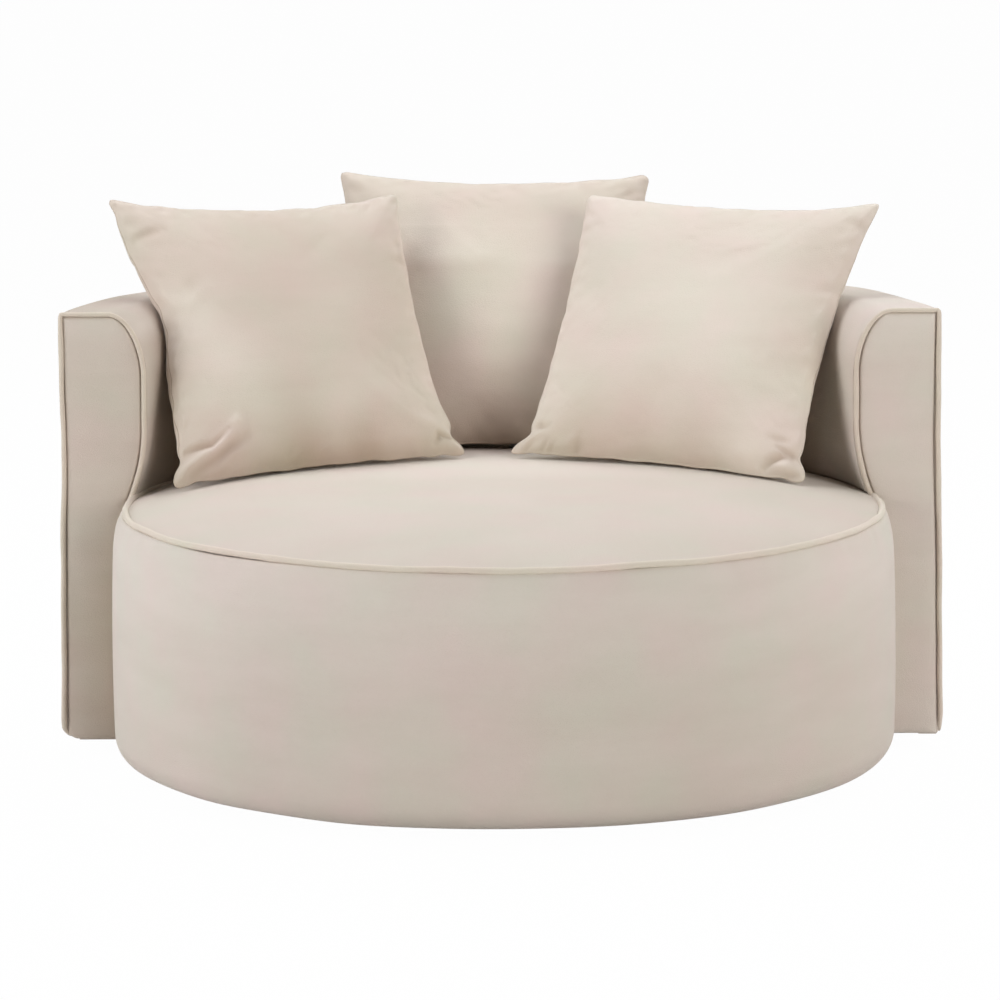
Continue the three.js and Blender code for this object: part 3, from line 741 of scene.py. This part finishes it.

# For each cushion: its lower seam, its lean, tilt and yaw in degrees, how far each seam is drawn in and at
# what share of its length, how far each corner is pulled across and up, how much its outer seam rolls
# forwards, its folds, its tones, its overall painted light (above 0) or shade (below 0) and a seed. A fold is
# a line of places in millimetres inwards from the side and upwards or downwards from the lower or upper seam,
# with its width and its height, below 0 for a valley; its ridge also gets painted light and its valley
# painted shade. A tone is a spot of painted light (strength above 0) or painted shade (below 0): a place in
# millimetres right of the middle and above the lower seam, a radius and a strength.
cushions = {
    "rear": dict(
        seam=(-0.008, 0.3695, 0.460), turn=(33, 0.8, 0), seed=3, roll=0,
        left=(0.022, 0.45), right=(0.022, 0.45), top=(0.0215, 0.46), bottom=(0.016, 0.5),
        pulls={"lower left": (0, 0), "lower right": (0, 0),
               "upper left": (-0.014, 0.012), "upper right": (0.000, 0.008)},
        folds=[("upper right", [(20, 40), (45, 52)], 8, -1.5), ("upper left", [(14, 46), (40, 40)], 8, -1.2),
               ("lower left", [(140, 6), (150, 50)], 12, -1.5),
               ("lower right", [(200, 6), (180, 70)], 14, -2)],
        overall_painted_light=0.02,
        tones=[(0, 215, 110, 0.35), (0, 60, 60, -0.25), (-130, 300, 100, 0.45), (130, 300, 100, 0.5)],
    ),
    "left": dict(
        seam=(-0.292, 0.146, 0.4582), turn=(34.5, -2.2, 23.3), seed=4, roll=1,
        left=(0.023, 0.33), right=(0.027, 0.36), top=(0.0285, 0.5), bottom=(0.012, 0.45),
        pulls={"lower left": (-0.006, 0.003), "lower right": (0.000, 0.006),
               "upper left": (0.014, 0.024), "upper right": (0.013, -0.013)},
        folds=[("lower left", [(14, 54), (63, 53), (94, 73)], 6, -9),
               ("lower left", [(20, 32), (65, 44), (108, 84)], 11, 8),
               ("lower left", [(34, 14), (76, 36), (125, 58)], 9, -7),
               ("lower right", [(8, 31), (39, 36), (51, 20)], 6, -7),
               ("lower right", [(30, 50), (76, 62)], 13, 3), ("upper left", [(14, 83), (65, 66)], 9, -4),
               ("upper left", [(45, 188), (84, 170)], 12, -2.4),
               ("upper right", [(5, 150), (40, 146)], 7, -2)],
        overall_painted_light=0,
        tones=[(-165, 190, 80, 0.4), (-210, 290, 60, 0.4), (230, 330, 120, -0.35), (-30, 30, 50, -0.5),
               (80, 30, 40, -0.5), (60, 110, 60, 0.25), (-120, 110, 50, 0.25), (0, 440, 110, -0.2)],
    ),
    "right": dict(
        seam=(0.256, 0.140, 0.460), turn=(36, 2.2, -23.5), seed=5, roll=0.5,
        left=(0.029, 0.2), right=(0.0275, 0.45), top=(0.022, 0.64), bottom=(0.011, 0.5),
        pulls={"lower left": (-0.008, 0.006), "lower right": (0.004, 0.005),
               "upper left": (-0.005, -0.010), "upper right": (0.004, 0.018)},
        folds=[("lower right", [(72, 12), (56, 25), (40, 34), (20, 38)], 6, -9),
               ("lower right", [(48, 48), (30, 45), (8, 43)], 5, -7),
               ("lower right", [(60, 60), (30, 62)], 7, -5), ("lower right", [(46, 13), (24, 22)], 8, 6),
               ("lower right", [(38, 0), (28, 7), (12, 11)], 5, -5),
               ("lower left", [(22, 51), (45, 46)], 7, -6),
               ("lower left", [(25, 1), (30, 20)], 6, -4.5), ("lower left", [(54, 1), (57, 22)], 6, -4.5),
               ("lower left", [(68, 1), (72, 18)], 6, -4), ("lower left", [(118, 3), (116, 30)], 8, -4),
               ("upper right", [(6, 52), (34, 44)], 8, -3), ("upper right", [(4, 180), (32, 184)], 7, -2.4)],
        overall_painted_light=0.36,
        tones=[(30, 280, 120, 0.3), (-150, 50, 60, -0.4), (-40, 50, 55, -0.35), (60, 50, 50, -0.3),
               (170, 25, 50, 0.55), (235, 230, 60, -0.35), (215, 400, 60, -0.3), (0, 440, 110, -0.15)],
    ),
}


def sewn(name, seed):
    """Two panels joined at their edges, with a little unevenness for the cloth to fold by."""
    rng = np.random.default_rng(seed)
    n = cloth_steps + 1
    line = np.linspace(-1, 1, n)
    u, v = np.meshgrid(line, line, indexing="xy")
    bulge = 0.02 * np.sqrt((1 - u * u) * (1 - v * v))
    layers = [np.stack([u * cloth_half, s * bulge, v * cloth_half], 2) for s in (-1, 1)]
    for layer in layers:
        layer[1:-1, 1:-1, 1] += rng.normal(0, 0.0004, (n - 2, n - 2))
    quads = grid(n, n, False, False)
    quads += [[k + n * n for k in reversed(quad)] for quad in quads]
    return layers, piece(name, np.concatenate(layers), quads, cushion_velvet, 180)


def inflate(cushion, layers):
    """Blows the sewn panels up as cloth and gives back both panels' points, row by row."""
    cloth = cushion.modifiers.new("cloth", "CLOTH")
    settings = cloth.settings
    settings.quality = 8
    settings.mass = 0.3
    settings.air_damping = 2
    settings.tension_stiffness = settings.compression_stiffness = 40
    settings.shear_stiffness = 10
    settings.bending_stiffness = 0.5
    settings.use_pressure = True
    settings.uniform_pressure_force = 3
    settings.effector_weights.gravity = 0
    cloth.collision_settings.use_collision = False
    cloth.point_cache.frame_end = cloth_frames
    unblown = np.array([vertex.co for vertex in cushion.data.vertices])
    for number in range(1, cloth_frames + 1):
        bpy.context.scene.frame_set(number)
    posed = cushion.evaluated_get(bpy.context.evaluated_depsgraph_get())
    blown = np.array([vertex.co for vertex in posed.data.vertices])
    bpy.context.scene.frame_set(1)
    nearest = [np.argmin(np.sum((unblown[None] - row[:, None]) ** 2, 2), 1) for row in np.concatenate(layers)]
    return blown[np.array(nearest)].reshape(2, cloth_steps + 1, cloth_steps + 1, 3)


def finer(marks, count):
    """Weights that read a row of evenly spaced points smoothly at marks from -1 to 1."""
    place = np.clip((marks + 1) / 2 * (count - 1), 0, count - 1)
    start = np.clip(place.astype(int), 0, count - 2)
    t = place - start
    weights = np.zeros((len(marks), count))
    cubic = [-t / 2 + t ** 2 - t ** 3 / 2, 1 - 2.5 * t ** 2 + 1.5 * t ** 3,
             t / 2 + 2 * t ** 2 - 1.5 * t ** 3, (t ** 3 - t ** 2) / 2]
    for step, weight in zip((-1, 0, 1, 2), cubic):
        np.add.at(weights, (np.arange(len(marks)), np.clip(start + step, 0, count - 1)), weight)
    return weights


def drawn(share, amount, most_at):
    """How far a seam is drawn in along its length."""
    from_most = np.abs(share - most_at) / np.where(share < most_at, most_at, 1 - most_at)
    return amount * (1 - from_most ** 2.2)


def flat(u, v):
    """The places of a panel's points when it lies flat."""
    return np.stack([u * cushion_half, v * cushion_half, 0 * u], 2)


def outline(u, v, look):
    """The places of a panel's points across and up, with its seams drawn in between rounded corners."""
    along, up = (1 + u) / 2, (1 + v) / 2
    across = cushion_half * u + drawn(up, *look["left"]) * (1 - along) - drawn(up, *look["right"]) * along
    upward = cushion_half * v + drawn(along, *look["bottom"]) * (1 - up) - drawn(along, *look["top"]) * up
    to_side, to_level = cushion_half * (1 - np.abs(u)), cushion_half * (1 - np.abs(v))
    to_seam, to_corner = np.minimum(to_side, to_level), np.maximum(to_side, to_level)
    at_side = to_side <= to_level
    turn = np.clip(1 - to_corner / ear_radius, 0, 1) * math.pi / 4
    inwards = ear_radius * (1 - np.cos(turn))
    along_seam = np.where(to_corner < ear_radius, ear_radius * (1 - np.sin(turn)) - to_corner, 0)
    fade = near(to_seam, ear_radius * 1.5)
    neck = hill(to_corner, neck_place, neck_width) * near(to_seam, 0.02)
    neck = neck * np.where(v < 0, low_neck, high_neck)
    across -= np.sign(u) * (np.where(at_side, inwards, along_seam) * fade + np.where(at_side, neck, 0))
    upward -= np.sign(v) * (np.where(at_side, along_seam, inwards) * fade + np.where(at_side, 0, neck * 0.5))
    waver = ripple(flat(u, v), 0.05, look["seed"] + 30) * 0.0013 * near(to_seam, 0.015)
    across += np.where(at_side, waver, 0)
    upward += np.where(at_side, 0, waver)
    for corner, (x, z) in look["pulls"].items():
        weight = (along if "right" in corner else 1 - along) * (up if "upper" in corner else 1 - up)
        across += weight * x
        upward += weight * z
    return across, upward + cushion_half


def seam_distance(u, v):
    """How far a panel's points are from the nearest seam."""
    return cushion_half * np.minimum(1 - np.abs(u), 1 - np.abs(v))


def puckers(u, v, seed):
    """Gathers along the seams and soft hollows in a panel, as a height in metres."""
    from_seam = seam_distance(u, v)
    hollows = ripple(flat(u, v), 0.2, seed + 10) * 0.003 * beyond(from_seam, 0.05)
    gathers = ripple(flat(u, v), 0.026, seed + 20) * 0.0018
    return hollows + gathers * from_seam / gather_reach * np.exp(1 - from_seam / gather_reach)


def fold(u, v, corner, places, width, height):
    """One fold: a rounded ridge or valley along a line, fading at its two ends."""
    inwards = cushion_half * 1000 * (1 - u if "right" in corner else 1 + u)
    upwards = cushion_half * 1000 * (1 - v if "upper" in corner else 1 + v)
    steps = np.linspace(0, 1, 30)
    line = [np.interp(steps * (len(places) - 1), range(len(places)), axis) for axis in zip(*places)]
    strengths = np.sin(math.pi * np.clip(steps, 0.08, 0.92)) ** 0.5
    marks = []
    for strength, x, z in zip(strengths, *line):
        marks.append(strength * np.exp(-((inwards - x) ** 2 + (upwards - z) ** 2) / width ** 2))
    return np.max(marks, 0) * height / 1000


def soften(field, times):
    """Spreads a field of pushes over its neighbours without lowering any of them."""
    for _ in range(times):
        wide = np.pad(field, 1, "edge")
        mean = (wide[:-2, 1:-1] + wide[2:, 1:-1] + wide[1:-1, :-2] + wide[1:-1, 2:]) / 4
        field = np.maximum(field, mean)
    return field


def fullness(marks, look):
    """How deep the front and the back panel bulge, partly as a cushion does that is blown up as cloth."""
    u, v = np.meshgrid(marks, marks, indexing="xy")
    full = (1 - u * u) ** 0.42 * (1 + v) ** 0.46 * (1 - v) ** 0.44 * cushion_depth / 2
    depths = [full, full]
    layers, cloth = sewn("cloth", look["seed"])
    blown = inflate(cloth, layers)[..., 1]
    bpy.data.objects.remove(cloth)
    weights = finer(marks, cloth_steps + 1)
    blown *= cushion_depth / (np.abs(blown).max() * 2)
    for number, face in enumerate((-1, 1)):
        fine = face * np.einsum("ia,jb,ab->ij", weights, weights, blown[number])
        depths[number] = full + (fine - full) * blown_share
    return depths


def settled(shape):
    """A leaning cushion, pushed clear of the wall behind it and of the seat below it."""
    radius = np.hypot(shape[..., 0], shape[..., 1])
    corner = np.clip((shape[..., 2] - (wall_top - corner_rise)) / (corner_rise + 0.02), 0, wall_reach)
    limit = wall_inner - wall_clear + corner_depth * (1 / np.sqrt(1 - corner ** 2) - 1)
    push = np.where((shape[..., 1] > 0) & (corner < wall_reach), np.maximum(radius - limit, 0), 0).max(0)
    push = soften(push, push_rounds)
    shape[..., :2] *= (1 - push / radius)[..., None]
    radius = np.hypot(shape[..., 0], shape[..., 1])
    shape[..., 2] = np.maximum(shape[..., 2], seat_level(radius) + seat_clear)
    shape[..., 1] += axis_y
    return shape


for name, look in cushions.items():
    from_edge = np.concatenate([
        [0, 0.0015, 0.003, 0.0045, 0.006, 0.008], np.linspace(0.0105, 0.12, 46),
        np.linspace(0.126, cushion_half, 24)])
    marks = np.concatenate([from_edge / cushion_half - 1, (1 - from_edge / cushion_half)[-2::-1]])
    u, v = np.meshgrid(marks, marks, indexing="xy")
    across, upward = outline(u, v, look)
    depths = fullness(marks, look)
    from_seam = seam_distance(u, v)
    rise = beyond(np.clip(from_seam - seam_lip, 0, 1), 0.0035 + 0.009 * np.clip(-v, 0, 1) ** 2)
    outer = cushion_half * (1 - u if name == "right" else 1 + u)
    rolled = look["roll"] * ramp(v, -0.88, -0.72) * (1 - 0.55 * ramp(v, -0.3, 0.6)) * ramp(v, 0.97, 0.87)
    folds = sum(fold(u, v, *numbers) for numbers in look["folds"])
    # Painted light and shade in the cushion's colour: painted shade along the seams and the rolled edge,
    # painted light on the folds' ridges and painted shade in their valleys, painted shade at the bottom near
    # the seat, and the painted spots of the tones.
    tone = look["overall_painted_light"] - 1.3 * rolled * (outer < seam_width) - 0.4 * (from_seam < seam_width)
    tone = tone + 85 * folds
    tone = tone - 0.75 * near(cushion_half * (1 + v), 0.028)
    for x, z, size, strength in look["tones"]:
        away = np.hypot(cushion_half * u * 1000 - x, cushion_half * (1 + v) * 1000 - z)
        tone = tone + strength * hill(away, 0, size)
    waver = 1 + 0.5 * ripple(flat(0 * v, v), 0.05, look["seed"])
    inward = roll_in * (-1 if name == "right" else 1) * waver
    panels = []
    for depth, face, reach in zip(depths, (-1, 1), (0.016, 0.005)):
        depth = depth * rise ** 0.7 + puckers(u, v, look["seed"] + face)
        if face == -1:
            depth = depth + folds * ramp(from_seam, 0, 0.006)
        depth = np.maximum(depth, 0.0011 * ramp(from_seam, 0, seam_width))
        forward = rolled * hill(outer, 0, reach)
        panels.append(np.stack([across + inward * forward, face * depth - roll_back * forward, upward], 2))
    lean, tilt, yaw = [math.radians(value) for value in look["turn"]]
    place = np.array(Euler((-lean, tilt, yaw), "YXZ").to_matrix())
    shape = settled(np.stack(panels) @ place.T + np.array(look["seam"]))
    shared = from_seam < 1e-9
    count = len(marks) ** 2
    front_numbers = np.arange(count).reshape(shared.shape)
    back_numbers = count - 1 + np.cumsum(~shared).reshape(shared.shape)
    behind = np.where(shared, front_numbers, back_numbers)
    quads = grid(len(marks), len(marks), False, False)
    quads += behind.ravel()[np.array(quads)[:, ::-1]].tolist()
    points = np.concatenate([shape[0].reshape(-1, 3), shape[1][~shared]])
    cushion = piece(f"{name}_cushion", points, quads, cushion_velvet, 180)
    # Stores the cushion's painted light and shade on its points.
    painted_light(cushion, np.concatenate([tone.ravel(), tone[~shared]]))
    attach(cushion, f"{name}_cushion")
    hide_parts(f"{name}_cushion_cover", f"{name}_cushion_fill", f"{name}_cushion_zip")

# Frame, straps and underside. What the covers hide keeps the shapes of its solids and gets its own woods,
# cloths, plastic and steel.
grain_depth = 0.0003


def plain(name, colour, roughness, scale, spread, stretch=(1, 1, 1)):
    """A finish with coarse and fine grain between two tones of a colour."""
    made, tree, shader = material(name, roughness)
    grain = noise(tree, scale, 4, stretch)
    fine = noise(tree, scale * 6, 2, stretch)
    low = linear(*[max(v - spread, 0) for v in colour])
    high = linear(*[min(v + spread, 255) for v in colour])
    ((grain - 0.5) * 1.6 + (fine - 0.5) * 0.7 + 0.5).mix(low, high).to(shader.inputs["Base Color"])
    bump(tree, shader, grain + fine * 0.5, grain_depth)
    return made


hidden_finishes = {
    "glide": plain("glide_plastic", (34, 34, 36), 0.45, 300, 6),
    "lining": plain("lining_cloth", (44, 44, 46), 0.95, 420, 10),
    "ply": plain("plywood", (208, 174, 126), 0.6, 12, 18, (1, 1, 14)),
    "timber": plain("pine", (196, 156, 112), 0.65, 20, 20, (4, 4, 0.6)),
    "board": plain("hardboard", (138, 104, 72), 0.75, 90, 12),
    "webbing": plain("webbing", (74, 73, 70), 0.9, 500, 16),
    "steel": plain("zinc_steel", (180, 182, 184), 0.35, 150, 10),
}
hidden_finishes["steel"].node_tree.nodes["Principled BSDF"].inputs["Metallic"].default_value = 0.9
finish_of = {
    "glide": "glide", "dust_cover": "lining", "wall_dust": "lining", "drum_base": "ply", "drum_deck": "ply",
    "wall_base_rail": "ply", "wall_top_rail": "ply", "left_arm_board": "ply", "right_arm_board": "ply",
    "drum_post": "timber", "wall_upright": "timber", "drum_hoop": "board", "wall_inner_board": "board",
    "wall_outer_board": "board", "cross_strap": "webbing", "long_strap": "webbing", "wall_bolt": "steel",
}
for node_name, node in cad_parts.items():
    for start, finish in finish_of.items():
        if node_name.startswith(start):
            node.data.materials.clear()
            node.data.materials.append(hidden_finishes[finish])

# Studio. A white floor that runs out of the picture and large soft lamps: low ones at both sides, higher
# ones at the left and in front at the right, and a row above and behind.
floor_reach = 60
floor_tone = (0.82, 0.82, 0.82, 1)
floor_glow = 0.985
warm_light = (1, 0.975, 0.94)
cool_light = (0.985, 1, 1.03)
lamps = [
    ("left", (-5.5, -1.5, 3.2), 3.0, 99, cool_light),
    ("left_low", (-5.0, -4.0, 1.6), 2.4, 111, warm_light),
    ("right_front", (4.5, -5.0, 4.2), 3.0, 115, warm_light),
    ("right_low", (5.0, -4.5, 1.6), 2.4, 122, warm_light),
    ("top_back", (0, 2.8, 4.6), 3.0, 80, cool_light),
    ("top_left", (-2.8, 0.6, 4.6), 2.4, 86, cool_light),
    ("top_right", (2.8, 0.6, 4.6), 2.4, 82, cool_light),
    ("back_right", (4.0, 3.4, 3.4), 3.0, 57, cool_light),
]


def camera_like(tree):
    """1 for rays from the camera, and for those seen in gloss or glass."""
    path = tree.nodes.new("ShaderNodeLightPath")
    rays = [Socket(tree, path.outputs[f"Is {kind} Ray"]) for kind in ("Camera", "Glossy", "Transmission")]
    total = rays[0] + rays[1] + rays[2]
    return total.math("MINIMUM", 1.0)


world = bpy.data.worlds.new("studio")
world.use_nodes = True
bpy.context.scene.world = world
tree = world.node_tree
background = tree.nodes["Background"]
background.inputs["Color"].default_value = (1, 1, 1, 1)
camera_like(tree).to(background.inputs["Strength"])

floor_mesh = bpy.data.meshes.new("floor")
r = floor_reach
floor_mesh.from_pydata([(-r, -r, 0), (r, -r, 0), (r, r, 0), (-r, r, 0)], [], [(0, 1, 2, 3)])
floor = bpy.data.objects.new("floor", floor_mesh)
bpy.context.scene.collection.objects.link(floor)
floor_finish = bpy.data.materials.new("floor_white")
floor_finish.use_nodes = True
tree = floor_finish.node_tree
shader = tree.nodes["Principled BSDF"]
shader.inputs["Base Color"].default_value = floor_tone
shader.inputs["Roughness"].default_value = 1
shader.inputs["Specular IOR Level"].default_value = 0
glow = tree.nodes.new("ShaderNodeEmission")
mixer = tree.nodes.new("ShaderNodeMixShader")
(camera_like(tree) * floor_glow).to(mixer.inputs[0])
tree.links.new(shader.outputs[0], mixer.inputs[1])
tree.links.new(glow.outputs[0], mixer.inputs[2])
tree.links.new(mixer.outputs[0], tree.nodes["Material Output"].inputs["Surface"])
floor_mesh.materials.append(floor_finish)

aim = Vector((0, 0, 0.4))
for name, place, size, power, colour in lamps:
    lamp_data = bpy.data.lights.new(name, "AREA")
    lamp_data.size = size
    lamp_data.energy = power
    lamp_data.color = colour
    lamp = bpy.data.objects.new(name, lamp_data)
    lamp.location = place
    lamp.rotation_euler = (aim - Vector(place)).to_track_quat("-Z", "Y").to_euler()
    bpy.context.scene.collection.objects.link(lamp)

bpy.context.scene.view_settings.view_transform = "Standard"
